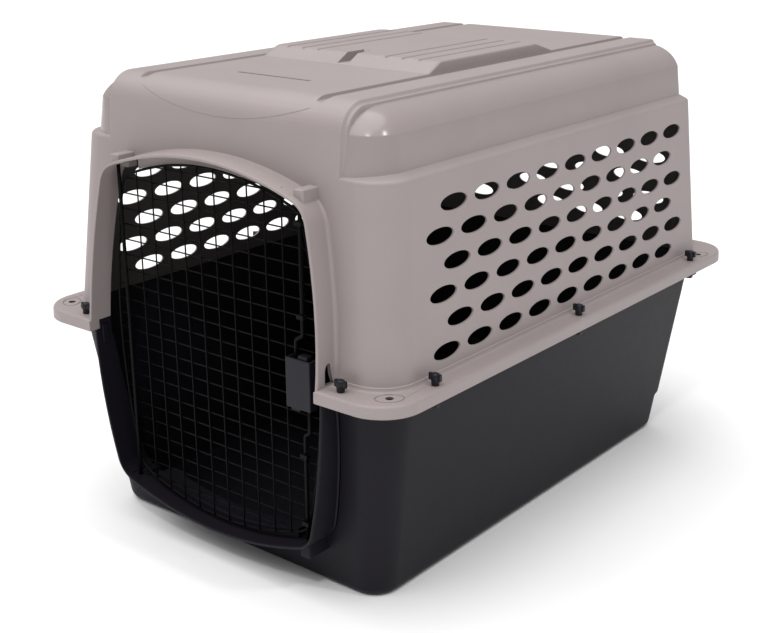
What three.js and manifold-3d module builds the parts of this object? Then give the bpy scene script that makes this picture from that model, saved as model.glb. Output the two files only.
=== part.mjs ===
// Two-shell plastic pet carrier with a wire door, a squeeze latch and wing-nut flange bolts.
// Millimetres, +Z up. Origin: centre of the footprint, on the floor. The door faces -Y.
import * as THREE from 'three';
import { mergeVertices } from 'three/addons/utils/BufferGeometryUtils.js';
import Module from 'manifold-3d';

const wasm = await Module();
wasm.setup();

// ---------------------------------------------------------------- driving dimensions
const GAP = 0.3;                      // clearance between pieces that touch
const WALL = 2.5;                     // moulded wall thickness

const FLANGE_HALF_X = 294.6;          // overall width / 2
const FLANGE_HALF_Y = 406.9;          // overall length / 2
const FLANGE_RADIUS = 52;
const FLANGE_TOP = 278;
const LIP_BOTTOM = 263;

const SHELL_HALF_X = 267.3;           // upper walls where they leave the flange
const SHELL_FRONT = -375;
const SHELL_REAR = 349;
const SHELL_FRONT_RADIUS = 46;
const SHELL_REAR_RADIUS = 20;
const SIDE_DRAFT = Math.tan(THREE.MathUtils.degToRad(5));
const REAR_DRAFT = Math.tan(THREE.MathUtils.degToRad(3.2));
const ROOF_TOP = 580.5;
const ROOF_ROLL = 36;                 // radius of the front edge where it rolls into the roof

const LEDGE_Z = 503;                  // ledge under each shoulder pad
const PAD_INSET_SIDE = 14;
const PAD_INSET_END = 4.5;
const PAD_TOP = 573;
const PAD_ROLL = 35;
const PAD_EDGE_X = 190;               // inner edge of each pad

const CHANNEL_X = 131;                // shallow channels along the roof
const CHANNEL_DEPTH = 4;
const PLATFORM_TOP = 593;
const PLATFORM_HALF_X = 131;
const PLATFORM_FRONT = -112;
const PLATFORM_REAR = 106;
const PLATFORM_RAMP = 22;
const PLATFORM_CORNER = 12;
const GRIP_GROOVES = [55.6, 81.4, 107.1];   // thin grooves on each side of the platform
const GRIP_WIDTH = 4;
const NOTCH_HALF_X = 9;

const TUB_HALF_X = 264.7;             // lower walls at the flange
const TUB_REAR = 346;
const FLOOR_HALF_X = 223.5;           // lower walls at the floor
const FLOOR_FRONT = -342;
const FLOOR_REAR = 339;
const FLOOR_RADIUS = 34;
const FLOOR_EDGE = 12;

const DOOR_CENTRE_Z = 272.4;          // the door frame is symmetrical above and below this
const HOOD = { halfX: 187.5, halfZ: 229.7, arch: 427, side: 757, corner: 16 };
const HOOD_WALL = 4;
const HOOD_FRONT = -405;
// The hood's front edge from the bottom up, as [y, z]: it leans back above the parting plane.
const HOOD_RIM = [
  [-392, 40], [-394, 160], [-397, 275.3],
  [-404.6, 275.35], [-397.6, 350], [-394, 400], [-387, 510],
];
const SEAT_FRONT = -390.5;            // how far forward the base's half of the door frame is cleared
const STOP_DEPTH = 12;                // door stop inside the hood, top and bottom
const STOP_FRONT = -366;
const STOP_HALF_X = 122;              // the stop leaves the hinge side of the door free to swing
const KEEPER_HALF = 6.5;              // blocks on the hood that take the ends of the rods
const KEEPER_RISE = 15;
const JAMB_SLOT = { front: -391, back: -379, low: FLANGE_TOP + 2, high: FLANGE_TOP + 24 };

const VENT_HALF_LENGTH = 25;
const VENT_HALF_HEIGHT = 9;
const VENT_SIDES = 8;
const VENT_CUT = 60;                  // how far a vent's cutter reaches through its wall, in all
const VENT_PITCH = 64;
const VENT_ROW = 32.65;
const VENT_STAGGER = 28.8;
const SIDE_VENTS = { first: -267.7, columns: 9, rows: 6, top: 465 };
const REAR_VENTS = { columns: 6, rows: 4, top: 410, pitch: 67.4, row: 31.1 };

const ROD_R = 2.3;
const BORE_R = 2.75;
const ROD_X = 146.5;
const WIRE_Y = -371.8;                // plane of the horizontal door wires
const ROD_Y = -376;
const ARCH_REACH = HOOD.halfZ - ROD_X ** 2 / (2 * HOOD.arch);   // from the hood's centre, over the rods
const WIRE = 2.2;
const FRAME_WIRE = 3.2;
const DOOR = { halfX: 168, halfZ: 221, arch: 350, side: 757, corner: 14 };
const PANEL_Z = 270.5;                // height of the door panel's centre
const WIRE_COLUMN = 26.16;
const WIRE_ROW = 19.47;
const TOP_ROW_Z = 210.1;              // above the panel's centre
const ROWS = 22;
const COLUMNS = 10;

const BOLT_R = 2.3;
const BOLT_HOLE_R = 2.8;
const BOLT_RISE = 12;                 // how far a bolt stands above the flange
const BOLT_HEAD = { radius: 5.5, height: 4 };
const NUT = { hubR: 4.6, hubHeight: 14, wingHalfX: 8, wingHalfY: 2.8, wingFoot: 5.5, wingTop: 14.5 };
// Bolts as [x, y, underside of the pocket].
const BOLTS = [
  [-281, -311, 257], [-281, -9, 257], [-281, 299, 257],
  [281, -311, 257], [281, -9, 257], [281, 299, 257],
  [-213, -390, 266], [213, -390, 266],
];
const POCKET_HALF = 8;
const TIE_HOLE_R = 4.6;
const TIE_HOLES = [[-265.5, -371.5], [265.5, -371.5], [-276, 334], [276, 334]];

// ---------------------------------------------------------------- materials
const TAUPE = new THREE.MeshStandardMaterial({ color: 0xa89d98, roughness: 0.45, metalness: 0 });
const CHARCOAL = new THREE.MeshStandardMaterial({ color: 0x2e2d31, roughness: 0.5, metalness: 0 });
const SLATE = new THREE.MeshStandardMaterial({ color: 0x3d3f47, roughness: 0.45, metalness: 0 });
const HARDWARE = new THREE.MeshStandardMaterial({ color: 0x28282f, roughness: 0.4, metalness: 0 });
const BLACK_WIRE = new THREE.MeshStandardMaterial({ color: 0x0c0c0d, roughness: 0.35, metalness: 0.3 });
const SPRING_STEEL = new THREE.MeshStandardMaterial({ color: 0x8d9094, roughness: 0.35, metalness: 1 });

const carrier = new THREE.Group();

// ---------------------------------------------------------------- solids and booleans
function solid(geometry) {
  const bare = geometry.clone();
  bare.deleteAttribute('normal');
  bare.deleteAttribute('uv');
  const merged = mergeVertices(bare, 1e-4);
  return new wasm.Manifold(new wasm.Mesh({
    numProp: 3,
    vertProperties: Float32Array.from(merged.attributes.position.array),
    triVerts: Uint32Array.from(merged.index.array),
  }));
}

function place(name, manifold, material) {
  const mesh = manifold.getMesh();
  const geometry = new THREE.BufferGeometry();
  const step = mesh.numProp;
  const count = mesh.vertProperties.length / step;
  const positions = new Float32Array(count * 3);
  for (let i = 0; i < count; i += 1) {
    positions.set(mesh.vertProperties.subarray(i * step, i * step + 3), i * 3);
  }
  geometry.setAttribute('position', new THREE.BufferAttribute(positions, 3));
  geometry.setIndex(new THREE.BufferAttribute(Uint32Array.from(mesh.triVerts), 1));
  geometry.computeVertexNormals();
  const node = new THREE.Mesh(geometry, material);
  node.name = name;
  carrier.add(node);
}

// A closed skin through rings of the same number of points, counter-clockwise seen from their end.
function loft(rings) {
  const size = rings[0].length;
  const positions = rings.flat().flatMap((p) => [p.x, p.y, p.z]);
  const index = [];
  for (let r = 0; r + 1 < rings.length; r += 1) {
    for (let i = 0; i < size; i += 1) {
      const a = r * size + i;
      const b = r * size + ((i + 1) % size);
      index.push(a, b, b + size, a, b + size, a + size);
    }
  }
  const last = (rings.length - 1) * size;
  const flat = rings[0].map((p) => flatten(p, rings));
  for (const [a, b, c] of THREE.ShapeUtils.triangulateShape(flat, [])) {
    index.push(a, c, b);
  }
  const lid = rings[rings.length - 1].map((p) => flatten(p, rings));
  for (const [a, b, c] of THREE.ShapeUtils.triangulateShape(lid, [])) {
    index.push(last + a, last + b, last + c);
  }
  const geometry = new THREE.BufferGeometry();
  geometry.setAttribute('position', new THREE.Float32BufferAttribute(positions, 3));
  geometry.setIndex(index);
  return solid(geometry);
}

// Rings stacked along Z are triangulated in X and Y, rings stacked along -Y in X and Z.
function flatten(point, rings) {
  const [first, second, third] = rings[0];
  const alongZ = Math.abs(first.z - second.z) < 1e-6 && Math.abs(second.z - third.z) < 1e-6;
  return alongZ ? new THREE.Vector2(point.x, point.y) : new THREE.Vector2(point.x, point.z);
}

function box(x0, x1, y0, y1, z0, z1) {
  const geometry = new THREE.BoxGeometry(x1 - x0, y1 - y0, z1 - z0);
  geometry.translate((x0 + x1) / 2, (y0 + y1) / 2, (z0 + z1) / 2);
  return solid(geometry);
}

function rod(radius, x, y, z0, z1, sides = 10) {
  const geometry = new THREE.CylinderGeometry(radius, radius, z1 - z0, sides);
  geometry.rotateX(Math.PI / 2);
  geometry.translate(x, y, (z0 + z1) / 2);
  return solid(geometry);
}

// ---------------------------------------------------------------- outlines
// Rectangle with rounded corners, given its side, front and rear edges.
function plan({ halfX, front, rear, frontRadius, rearRadius }, z, steps = 5) {
  const corners = [
    [halfX - frontRadius, front + frontRadius, frontRadius, -90],
    [halfX - rearRadius, rear - rearRadius, rearRadius, 0],
    [-halfX + rearRadius, rear - rearRadius, rearRadius, 90],
    [-halfX + frontRadius, front + frontRadius, frontRadius, 180],
  ];
  return corners.flatMap(([cx, cy, radius, start]) => Array.from({ length: steps + 1 }, (_, i) => {
    const angle = THREE.MathUtils.degToRad(start + (90 * i) / steps);
    return new THREE.Vector3(cx + radius * Math.cos(angle), cy + radius * Math.sin(angle), z);
  }));
}

function inset(section, distance) {
  return {
    halfX: section.halfX - distance,
    front: section.front + distance,
    rear: section.rear - distance,
    frontRadius: Math.max(section.frontRadius - distance, 2),
    rearRadius: Math.max(section.rearRadius - distance, 2),
  };
}

// Barrel outline: four arcs (sides, top and bottom) with rounded corners, in X and Z.
function barrel({ halfX, halfZ, arch, side, corner }, grow = 0) {
  const w = halfX + grow;
  const h = halfZ + grow;
  let cornerX = w;
  let cornerZ = h;
  for (let i = 0; i < 12; i += 1) {
    cornerX = w - cornerZ ** 2 / (2 * side);
    cornerZ = h - cornerX ** 2 / (2 * arch);
  }
  const onArch = (x) => new THREE.Vector2(x, h - x ** 2 / (2 * arch));
  const onSide = (z) => new THREE.Vector2(w - z ** 2 / (2 * side), z);
  const start = onSide(cornerZ - corner);
  const end = onArch(cornerX - corner);
  const bend = new THREE.QuadraticBezierCurve(start, new THREE.Vector2(cornerX, cornerZ), end);
  const quarter = [
    ...[0, 0.35, 0.7].map((t) => onSide(t * (cornerZ - corner))),
    ...bend.getPoints(3),
    ...[0.66, 0.33].map((t) => onArch(t * (cornerX - corner))),
  ];
  const upperRight = [...quarter, new THREE.Vector2(0, h)];
  const upperLeft = quarter.slice(1).reverse().map((p) => new THREE.Vector2(-p.x, p.y));
  const upper = [...upperRight, ...upperLeft, new THREE.Vector2(-w, 0)];
  const lower = upper.slice(1, -1).reverse().map((p) => new THREE.Vector2(p.x, -p.y));
  return [...upper, ...lower];
}

// Prism of a barrel outline between two Y planes.
function barrelPrism(outline, yFront, yBack, centreZ = DOOR_CENTRE_Z) {
  const ring = (y) => outline.map((p) => new THREE.Vector3(p.x, y, centreZ + p.y));
  return loft([ring(yBack), ring(yFront)]);
}

// ---------------------------------------------------------------- shell sections
function shellSection(z) {
  const rise = z - FLANGE_TOP;
  return {
    halfX: SHELL_HALF_X - rise * SIDE_DRAFT,
    front: SHELL_FRONT + rise * SIDE_DRAFT,
    rear: SHELL_REAR - rise * REAR_DRAFT,
    frontRadius: SHELL_FRONT_RADIUS,
    rearRadius: SHELL_REAR_RADIUS,
  };
}

function padSection(z) {
  const outer = shellSection(z);
  const side = PAD_INSET_SIDE - PAD_INSET_END;
  const even = inset(outer, PAD_INSET_END);
  return { ...even, halfX: even.halfX - side, rear: even.rear + PAD_INSET_END - 1 };
}

// Walls from `bottom` up to a roof at `top`, with the upper edge rolled over at `roll`.
function domed(section, bottom, top, roll, wall) {
  const rings = [plan(inset(section(bottom), wall), bottom)];
  const steps = 5;
  for (let i = 0; i <= steps; i += 1) {
    const angle = (Math.PI / 2) * (i / steps);
    const z = top - roll * (1 - Math.sin(angle));
    rings.push(plan(inset(section(z), wall + roll * (1 - Math.cos(angle)) * 0.98), z));
  }
  return loft(rings);
}

function tubSection(z) {
  const t = z / LIP_BOTTOM;
  const lerp = THREE.MathUtils.lerp;
  return {
    halfX: lerp(FLOOR_HALF_X, TUB_HALF_X, t),
    front: lerp(FLOOR_FRONT, SHELL_FRONT + 1, t),
    rear: lerp(FLOOR_REAR, TUB_REAR, t),
    frontRadius: lerp(FLOOR_RADIUS, SHELL_FRONT_RADIUS, t),
    rearRadius: lerp(FLOOR_RADIUS - 6, SHELL_REAR_RADIUS, t),
  };
}

// The tub's outside, or its inside where `wall` is its thickness, up to `top`.
function tubBody(top, wall) {
  const rings = [
    plan(inset(tubSection(wall), wall + FLOOR_EDGE), wall),
    plan(inset(tubSection(wall), wall + FLOOR_EDGE * 0.3), wall + FLOOR_EDGE * 0.3),
    plan(inset(tubSection(wall + FLOOR_EDGE), wall), wall + FLOOR_EDGE),
    plan(inset(tubSection(top), wall), top),
  ];
  return loft(rings);
}

function flangeSection(distance) {
  return {
    halfX: FLANGE_HALF_X - distance,
    front: -FLANGE_HALF_Y + distance,
    rear: FLANGE_HALF_Y - distance,
    frontRadius: FLANGE_RADIUS - distance,
    rearRadius: FLANGE_RADIUS - distance,
  };
}

function slab(section, z0, z1) {
  return loft([plan(section, z0), plan(section, z1)]);
}

// ---------------------------------------------------------------- vents
function ventCutter(direction) {
  const outline = Array.from({ length: VENT_SIDES }, (_, i) => {
    const angle = (2 * Math.PI * i) / VENT_SIDES;
    return new THREE.Vector2(VENT_HALF_LENGTH * Math.cos(angle), VENT_HALF_HEIGHT * Math.sin(angle));
  });
  const options = { depth: VENT_CUT, bevelEnabled: false };
  const geometry = new THREE.ExtrudeGeometry(new THREE.Shape(outline), options);
  geometry.translate(0, 0, -VENT_CUT / 2);
  geometry.rotateX(Math.PI / 2);
  if (direction === 'side') {
    geometry.rotateZ(Math.PI / 2);
  }
  return solid(geometry);
}

function vents() {
  const sideCutter = ventCutter('side');
  const rearCutter = ventCutter('rear');
  const cutters = [];
  for (const side of [-1, 1]) {
    for (let row = 0; row < SIDE_VENTS.rows; row += 1) {
      const z = SIDE_VENTS.top - row * VENT_ROW;
      const shifted = (row % 2 === 0) === (side > 0);
      for (let column = 0; column < SIDE_VENTS.columns; column += 1) {
        const y = SIDE_VENTS.first + column * VENT_PITCH + (shifted ? VENT_STAGGER : 0);
        cutters.push(sideCutter.translate([side * shellSection(z).halfX, y, z]));
      }
    }
  }
  for (let row = 0; row < REAR_VENTS.rows; row += 1) {
    const z = REAR_VENTS.top - row * REAR_VENTS.row;
    const stagger = (row % 2 === 0 ? 1 : -1) * (REAR_VENTS.pitch / 4);
    for (let column = 0; column < REAR_VENTS.columns; column += 1) {
      const x = (column - (REAR_VENTS.columns - 1) / 2) * REAR_VENTS.pitch + stagger;
      cutters.push(rearCutter.translate([x, shellSection(z).rear, z]));
    }
  }
  return wasm.Manifold.union(cutters);
}

// ---------------------------------------------------------------- door frame: hood, stop and keepers
const FAR = 500;
const upperHalf = box(-FAR, FAR, -FAR, FAR, FLANGE_TOP - WALL, 2 * FAR);
const lowerHalf = box(-FAR, FAR, -FAR, FAR, -FAR, FLANGE_TOP - WALL - GAP);
const hoodInner = barrel(HOOD);
const hoodOuter = barrelPrism(barrel(HOOD, HOOD_WALL), HOOD_FRONT, STOP_FRONT + 26).subtract(aheadOfRim());
const hoodTunnel = barrelPrism(hoodInner, HOOD_FRONT - 20, STOP_FRONT);
const doorwayOutline = barrel({ ...HOOD, halfZ: HOOD.halfZ - STOP_DEPTH });
const doorway = barrelPrism(doorwayOutline, HOOD_FRONT - 20, STOP_FRONT + 60);

// Everything in front of the hood's sloping rim.
function aheadOfRim() {
  const outline = [[-FAR, 0], ...HOOD_RIM, [-FAR, 2 * FAR]].map(([y, z]) => new THREE.Vector2(y, z));
  const options = { depth: 2 * FAR, bevelEnabled: false };
  const geometry = new THREE.ExtrudeGeometry(new THREE.Shape(outline), options);
  geometry.translate(0, 0, -FAR);
  const turn = new THREE.Matrix4().makeBasis(
    new THREE.Vector3(0, 1, 0), new THREE.Vector3(0, 0, 1), new THREE.Vector3(1, 0, 0),
  );
  return solid(geometry.applyMatrix4(turn));
}

// Heights between two distances from the hood's arch above the rods, up or down by `direction`.
function beyondArch(direction, from, to) {
  const ends = [from, to].map((distance) => DOOR_CENTRE_Z + direction * (ARCH_REACH + distance));
  return [Math.min(...ends), Math.max(...ends)];
}

function keeperBlocks(direction) {
  const [z0, z1] = beyondArch(direction, -2, KEEPER_RISE);
  const blocks = [-1, 1].map((side) => {
    const x = side * ROD_X;
    return box(x - KEEPER_HALF, x + KEEPER_HALF, ROD_Y - KEEPER_HALF, STOP_FRONT + 20, z0, z1);
  });
  return wasm.Manifold.union(blocks);
}

function keeperBores(direction) {
  const [z0, z1] = beyondArch(direction, -20, KEEPER_RISE - 3);
  return wasm.Manifold.union([-1, 1].map((side) => rod(BORE_R, side * ROD_X, ROD_Y, z0, z1, 12)));
}

// Strip across the middle of the hood that the closed door rests against.
function doorStop(back) {
  return barrelPrism(barrel(HOOD, HOOD_WALL), STOP_FRONT, back)
    .intersect(box(-STOP_HALF_X, STOP_HALF_X, -FAR, FAR, -FAR, 2 * FAR));
}

// Short returns of the flange's lip down each side of the hood.
function lipReturns(clearance) {
  return wasm.Manifold.union([-1, 1].map((side) => box(
    side * (HOOD.halfX + HOOD_WALL / 2) - HOOD_WALL / 2 - clearance,
    side * (HOOD.halfX + HOOD_WALL / 2) + HOOD_WALL / 2 + clearance,
    -FLANGE_HALF_Y - clearance, SEAT_FRONT + clearance,
    LIP_BOTTOM - clearance, FLANGE_TOP + clearance,
  )));
}

function holesThroughFlange(z0, z1) {
  const bolts = BOLTS.map(([x, y]) => rod(BOLT_HOLE_R, x, y, z0, z1, 12));
  const ties = TIE_HOLES.map(([x, y]) => rod(TIE_HOLE_R, x, y, z0, z1, 12));
  return wasm.Manifold.union([...bolts, ...ties]);
}

// ---------------------------------------------------------------- top shell
function roofChannels() {
  const cutters = [-1, 1].map((side) => {
    const ring = (y) => [
      new THREE.Vector3(side * CHANNEL_X - 5, y, ROOF_TOP + 1),
      new THREE.Vector3(side * CHANNEL_X, y, ROOF_TOP - CHANNEL_DEPTH),
      new THREE.Vector3(side * CHANNEL_X + 9, y, ROOF_TOP + 1),
    ];
    return loft([ring(FAR), ring(SHELL_FRONT + 60)]);
  });
  return wasm.Manifold.union(cutters);
}

function platform() {
  const ring = (grow, z, ramp) => plan({
    halfX: PLATFORM_HALF_X + grow,
    front: PLATFORM_FRONT - ramp,
    rear: PLATFORM_REAR + ramp,
    frontRadius: PLATFORM_CORNER,
    rearRadius: PLATFORM_CORNER,
  }, z, 3);
  const raised = loft([ring(3, ROOF_TOP - 1, PLATFORM_RAMP), ring(0, PLATFORM_TOP, 0)]);
  const grooves = [-1, 1].flatMap((side) => GRIP_GROOVES.map((x) => box(
    side * x - GRIP_WIDTH / 2, side * x + GRIP_WIDTH / 2,
    PLATFORM_FRONT + 6, PLATFORM_REAR - 6, PLATFORM_TOP - 1.5, PLATFORM_TOP + 5,
  )));
  const notch = box(
    -NOTCH_HALF_X, NOTCH_HALF_X,
    PLATFORM_FRONT - PLATFORM_RAMP - 5, PLATFORM_FRONT + 33, ROOF_TOP + 1, PLATFORM_TOP + 5,
  );
  return raised.subtract(wasm.Manifold.union([...grooves, notch]));
}

function topShell() {
  const padRegion = wasm.Manifold.union([
    box(PAD_EDGE_X, FAR, -FAR, FAR, LEDGE_Z, 2 * FAR),
    box(-FAR, -PAD_EDGE_X, -FAR, FAR, LEDGE_Z, 2 * FAR),
  ]);
  const walls = domed(shellSection, FLANGE_TOP - WALL, ROOF_TOP, ROOF_ROLL, 0).subtract(padRegion);
  const pads = domed(padSection, LEDGE_Z - 12, PAD_TOP, PAD_ROLL, 0);
  const lip = slab(flangeSection(0), LIP_BOTTOM, FLANGE_TOP).subtract(
    slab(flangeSection(WALL), LIP_BOTTOM - 5, FLANGE_TOP - WALL),
  );
  const hood = hoodOuter.add(keeperBlocks(1)).intersect(upperHalf);
  const lowerCavity = slabBetween(shellSection, LIP_BOTTOM - 5, LEDGE_Z - WALL);
  const padCavity = domed(padSection, LIP_BOTTOM - 5, PAD_TOP - WALL, PAD_ROLL - WALL, WALL);
  const roofCavity = domed(shellSection, LEDGE_Z - 30, ROOF_TOP - WALL, ROOF_ROLL - WALL, WALL)
    .intersect(box(-CHANNEL_X + 9, CHANNEL_X - 9, -FAR, FAR, 0, 2 * FAR));
  const cavity = wasm.Manifold.union([lowerCavity, padCavity, roofCavity]);
  const stop = doorStop(STOP_FRONT + 6).intersect(upperHalf);
  const jambSlot = box(
    HOOD.halfX - 5, HOOD.halfX + 25, JAMB_SLOT.front, JAMB_SLOT.back, JAMB_SLOT.low, JAMB_SLOT.high,
  );
  return wasm.Manifold.union([walls, pads, lip, hood, platform()])
    .subtract(roofChannels())
    .subtract(cavity)
    .add(wasm.Manifold.union([stop, lipReturns(0)]))
    .subtract(wasm.Manifold.union([hoodTunnel, doorway, keeperBores(1), jambSlot, vents()]))
    .subtract(holesThroughFlange(LIP_BOTTOM, FLANGE_TOP + 5))
    .subtract(seatOfBase());
}

// Everything below the parting plane, between the door frame's sides, belongs to the base.
function seatOfBase() {
  return lowerHalf.intersect(box(-HOOD.halfX, HOOD.halfX, SEAT_FRONT, FAR, 0, 2 * FAR));
}

function slabBetween(section, z0, z1) {
  return loft([plan(inset(section(z0), WALL), z0), plan(inset(section(z1), WALL), z1)]);
}

// ---------------------------------------------------------------- base tub
function boltBlocks() {
  const blocks = BOLTS.map(([x, y, underside]) => box(
    x - POCKET_HALF, x + POCKET_HALF, y - POCKET_HALF, y + POCKET_HALF, underside, FLANGE_TOP - WALL - 2,
  ));
  return wasm.Manifold.union(blocks);
}

function baseTub() {
  const top = FLANGE_TOP - WALL - GAP;
  const plate = slab(flangeSection(WALL + 0.7), top - WALL, top);
  const hood = hoodOuter.add(keeperBlocks(-1)).intersect(lowerHalf);
  const stop = doorStop(STOP_FRONT + 24).intersect(lowerHalf);
  return wasm.Manifold.union([tubBody(top, 0), plate, hood, boltBlocks().intersect(lowerHalf)])
    .subtract(tubBody(top + 20, WALL))
    .add(stop)
    .subtract(wasm.Manifold.union([hoodTunnel, doorway, keeperBores(-1)]))
    .subtract(holesThroughFlange(LIP_BOTTOM - 10, FLANGE_TOP))
    .intersect(lowerHalf)
    .subtract(wasm.Manifold.union([lipClearance(), lipReturns(GAP)]));
}

// The top shell's lip hangs outside the base flange, and its hood meets the base hood edge to edge.
function lipClearance() {
  return slab(flangeSection(-5), LIP_BOTTOM - GAP, FLANGE_TOP)
    .subtract(slab(flangeSection(WALL + GAP), LIP_BOTTOM - 5, FLANGE_TOP + 5));
}

// ---------------------------------------------------------------- door
function doorExtent(z) {
  const side = DOOR.halfX - z ** 2 / (2 * DOOR.side);
  const arch = Math.sqrt(Math.max(0, (DOOR.halfZ - Math.abs(z)) * 2 * DOOR.arch));
  return Math.min(side, arch);
}

function doorMesh() {
  const half = WIRE / 2;
  const across = Array.from({ length: ROWS }, (_, row) => {
    const z = TOP_ROW_Z - row * WIRE_ROW;
    const x = doorExtent(z);
    return box(-x, x, WIRE_Y - half, WIRE_Y + half, PANEL_Z + z - half, PANEL_Z + z + half);
  });
  const upright = Array.from({ length: COLUMNS }, (_, column) => {
    const x = (column - (COLUMNS - 1) / 2) * WIRE_COLUMN;
    const z = DOOR.halfZ - x ** 2 / (2 * DOOR.arch);
    const y = WIRE_Y - WIRE * 0.85;
    return box(x - half, x + half, y - half, y + half, PANEL_Z - z, PANEL_Z + z);
  });
  const frameHalf = FRAME_WIRE / 2;
  const frame = barrelPrism(barrel(DOOR, frameHalf), WIRE_Y - frameHalf, WIRE_Y + frameHalf, PANEL_Z)
    .subtract(barrelPrism(barrel(DOOR, -frameHalf), WIRE_Y - 10, WIRE_Y + 10, PANEL_Z));
  return wasm.Manifold.union([...across, ...upright, frame]);
}

// Rod bent in its own vertical plane: circles stacked along a list of [x, z] points.
function bentRod(points) {
  const rings = points.map(([x, z]) => Array.from({ length: 10 }, (_, i) => {
    const angle = (2 * Math.PI * i) / 10;
    return new THREE.Vector3(x + ROD_R * Math.cos(angle), ROD_Y + ROD_R * Math.sin(angle), z);
  }));
  return loft(rings);
}

const rodTip = ARCH_REACH - 1.8;        // withdrawn, just inside the hood
const hingeTip = rodTip + 11;

place('top_shell', topShell(), TAUPE);
place('base_tub', baseTub(), CHARCOAL);
place('door_wire_mesh', doorMesh(), BLACK_WIRE);
place(
  'door_hinge_rod',
  rod(ROD_R, -ROD_X, ROD_Y, DOOR_CENTRE_Z - hingeTip, DOOR_CENTRE_Z + hingeTip),
  BLACK_WIRE,
);

// ---------------------------------------------------------------- squeeze latch
const LATCH = { x0: 129.5, x1: 166, y0: -388, y1: -375.1, z0: 239.5, z1: 299 };
const LATCH_WALL = 2.5;
const UPPER_ROD_X = 136;
const LOWER_ROD_X = 154;
const UPPER_TAB_X = 153;
const LOWER_TAB_X = 141;
const TAB_HALF_X = 7;
const SLIDER = { from: 11, to: 26, tabFrom: 24, tabTo: 34 };   // from the latch's middle
const LATCH_WEB_HALF = 1.5;
const SPRING = { radius: 3.6, wire: 1, turns: 3, perTurn: 10 };
const ROD_ROOT = 18.5;                // where each rod starts inside its slider, from the latch's middle
const latchMid = (LATCH.z0 + LATCH.z1) / 2;

function latchHousing() {
  const shell = box(LATCH.x0, LATCH.x1, LATCH.y0, LATCH.y1, LATCH.z0, LATCH.z1);
  const hollow = (z0, z1) => box(
    LATCH.x0 + LATCH_WALL, LATCH.x1 - LATCH_WALL, LATCH.y0 + LATCH_WALL, LATCH.y1 + 5, z0, z1,
  );
  return shell
    .subtract(hollow(latchMid + LATCH_WEB_HALF, LATCH.z1 + 5))
    .subtract(hollow(LATCH.z0 - 5, latchMid - LATCH_WEB_HALF));
}

function latchBackPlate() {
  const front = WIRE_Y + WIRE / 2 + GAP;
  return box(LATCH.x0 - 3, LATCH.x1 - 1, front, front + 2.2, LATCH.z0 + 5, LATCH.z1 - 5);
}

// One slider: a block with a thumb tab that stands out of the housing's end, bored for its rod.
function latchSlider(direction, rodX, tabX) {
  const at = (distance) => latchMid + direction * distance;
  const span = (from, to) => [Math.min(at(from), at(to)), Math.max(at(from), at(to))];
  const [b0, b1] = span(SLIDER.from, SLIDER.to);
  const [t0, t1] = span(SLIDER.tabFrom, SLIDER.tabTo);
  const inner = LATCH_WALL + GAP;
  const block = box(LATCH.x0 + inner, LATCH.x1 - inner, LATCH.y0 + inner, LATCH.y1 - GAP, b0, b1);
  const tab = box(tabX - TAB_HALF_X, tabX + TAB_HALF_X, LATCH.y0 + inner, LATCH.y1 - GAP, t0, t1);
  const [h0, h1] = span(ROD_ROOT - 0.5, 45);
  return block.add(tab).subtract(rod(ROD_R + GAP + 0.15, rodX, ROD_Y, h0, h1, 12));
}

// Coil spring as a square wire wound round a vertical axis, between the web and one slider.
function latchSpring(direction) {
  const { radius, wire, turns, perTurn } = SPRING;
  const near = LATCH_WEB_HALF + GAP + 0.9;
  const length = SLIDER.from - GAP - 0.9 - near;
  const from = direction > 0 ? latchMid + near : latchMid - near - length;
  const centreX = (LATCH.x0 + LATCH.x1) / 2;
  const centreY = (LATCH.y0 + LATCH_WALL + LATCH.y1) / 2 - 0.5;
  const half = wire / 2;
  const rings = Array.from({ length: turns * perTurn + 1 }, (_, i) => {
    const angle = (2 * Math.PI * i) / perTurn;
    const z = from + (length * i) / (turns * perTurn);
    const corners = [[-half, -half], [half, -half], [half, half], [-half, half]];
    return corners.map(([out, rise]) => new THREE.Vector3(
      centreX + (radius + out) * Math.cos(angle), centreY + (radius + out) * Math.sin(angle), z + rise,
    ));
  });
  return coil(rings);
}

// A skin through rings whose two ends are four-cornered.
function coil(rings) {
  const positions = rings.flat().flatMap((p) => [p.x, p.y, p.z]);
  const index = [];
  for (let r = 0; r + 1 < rings.length; r += 1) {
    for (let i = 0; i < 4; i += 1) {
      const a = r * 4 + i;
      const b = r * 4 + ((i + 1) % 4);
      index.push(a, b + 4, b, a, a + 4, b + 4);
    }
  }
  const last = (rings.length - 1) * 4;
  index.push(0, 1, 2, 0, 2, 3, last, last + 2, last + 1, last, last + 3, last + 2);
  const geometry = new THREE.BufferGeometry();
  geometry.setAttribute('position', new THREE.Float32BufferAttribute(positions, 3));
  geometry.setIndex(index);
  return solid(geometry);
}

place('latch_housing', latchHousing(), SLATE);
place('latch_back_plate', latchBackPlate(), SLATE);
place('latch_slider_upper', latchSlider(1, UPPER_ROD_X, UPPER_TAB_X), SLATE);
place('latch_slider_lower', latchSlider(-1, LOWER_ROD_X, LOWER_TAB_X), SLATE);
place('latch_spring_upper', latchSpring(1), SPRING_STEEL);
place('latch_spring_lower', latchSpring(-1), SPRING_STEEL);
place('latch_rod_upper', bentRod([
  [UPPER_ROD_X, latchMid + ROD_ROOT], [UPPER_ROD_X, 317], [ROD_X, 325], [ROD_X, DOOR_CENTRE_Z + rodTip],
]), BLACK_WIRE);
place('latch_rod_lower', bentRod([
  [ROD_X, DOOR_CENTRE_Z - rodTip], [ROD_X, 202], [LOWER_ROD_X, 210], [LOWER_ROD_X, latchMid - ROD_ROOT],
]), BLACK_WIRE);

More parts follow.
